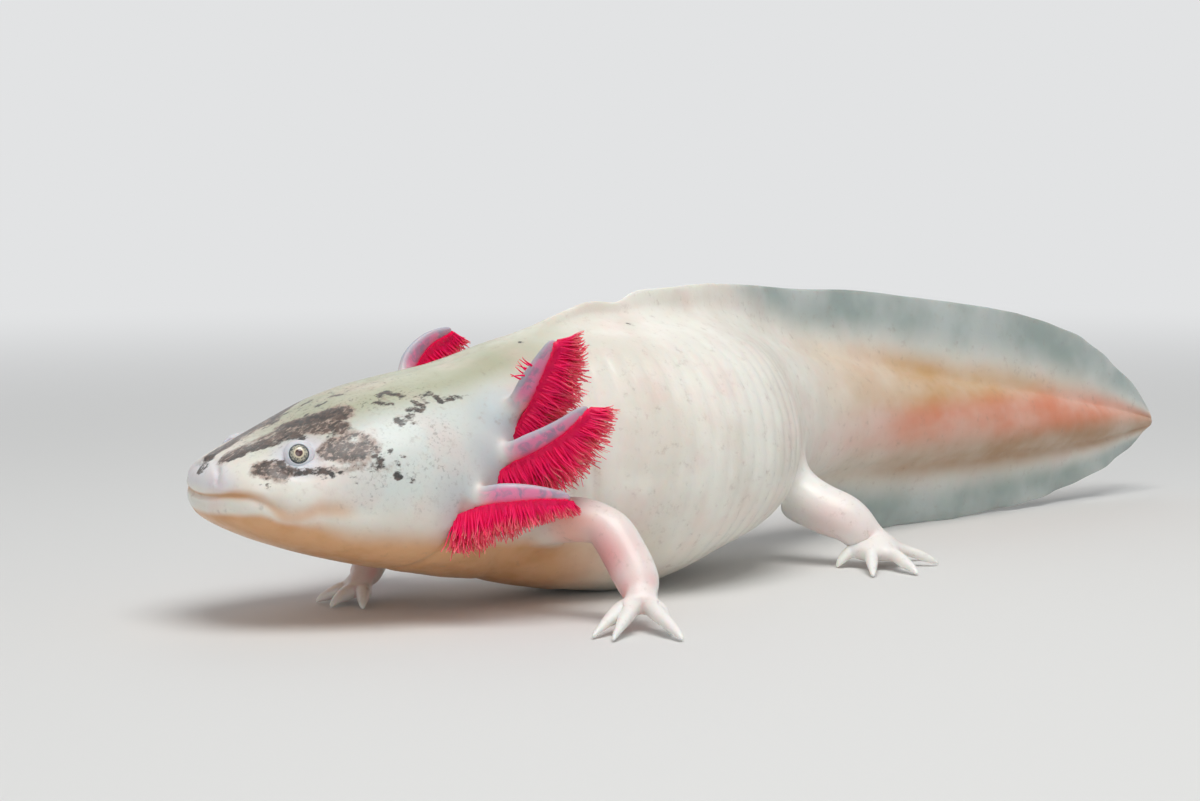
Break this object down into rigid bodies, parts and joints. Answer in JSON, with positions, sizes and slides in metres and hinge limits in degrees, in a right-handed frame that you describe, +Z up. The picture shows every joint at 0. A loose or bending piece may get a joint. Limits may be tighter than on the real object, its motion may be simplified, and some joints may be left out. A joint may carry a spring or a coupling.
{
  "type": "life-size axolotl model",
  "caption": "Still life-size model of a grown leucistic axolotl resting on its belly, feet and tail fin, body gently bent, feathery gills spread.",
  "frame": {"origin": "on the floor, under the middle of the whole model's box", "axes": "+X from head to tail, -Y to the animal's left side, +Z up"},
  "size_m": [0.2258, 0.0901, 0.0448],
  "materials": {
    "skin": "moist pale skin with dark freckles",
    "fin": "moist thin fin skin",
    "gill_stalk": "moist lilac pink skin with grey mottling",
    "gill_fringe": "moist crimson filaments",
    "eye": "wet clear eye with pale iris and dark pupil"
  },
  "bodies": {
    "root": {"lower_jaw": "skin", "head": "skin", "neck": "skin", "chest": "skin", "belly": "skin", "hips": "skin", "tail_base": "skin", "tail_middle": "skin", "tail_end": "skin", "eye_left": "eye", "eye_right": "eye", "fin_back": "fin", "fin_rump": "fin", "fin_tail_upper_front": "fin", "fin_tail_upper_rear": "fin", "fin_tail_lower_front": "fin", "fin_tail_lower_rear": "fin", "left_upper_arm": "skin", "left_forearm": "skin", "left_hand": "skin", "right_upper_arm": "skin", "right_forearm": "skin", "right_hand": "skin", "left_thigh": "skin", "left_shin": "skin", "left_foot": "skin", "right_thigh": "skin", "right_shin": "skin", "right_foot": "skin", "gill_left_upper_stalk": "gill_stalk", "gill_left_upper_fringe": "gill_fringe", "gill_left_middle_stalk": "gill_stalk", "gill_left_middle_fringe": "gill_fringe", "gill_left_lower_stalk": "gill_stalk", "gill_left_lower_fringe": "gill_fringe", "gill_right_upper_stalk": "gill_stalk", "gill_right_upper_fringe": "gill_fringe", "gill_right_middle_stalk": "gill_stalk", "gill_right_middle_fringe": "gill_fringe", "gill_right_lower_stalk": "gill_stalk", "gill_right_lower_fringe": "gill_fringe"}
  },
  "joints": []
}
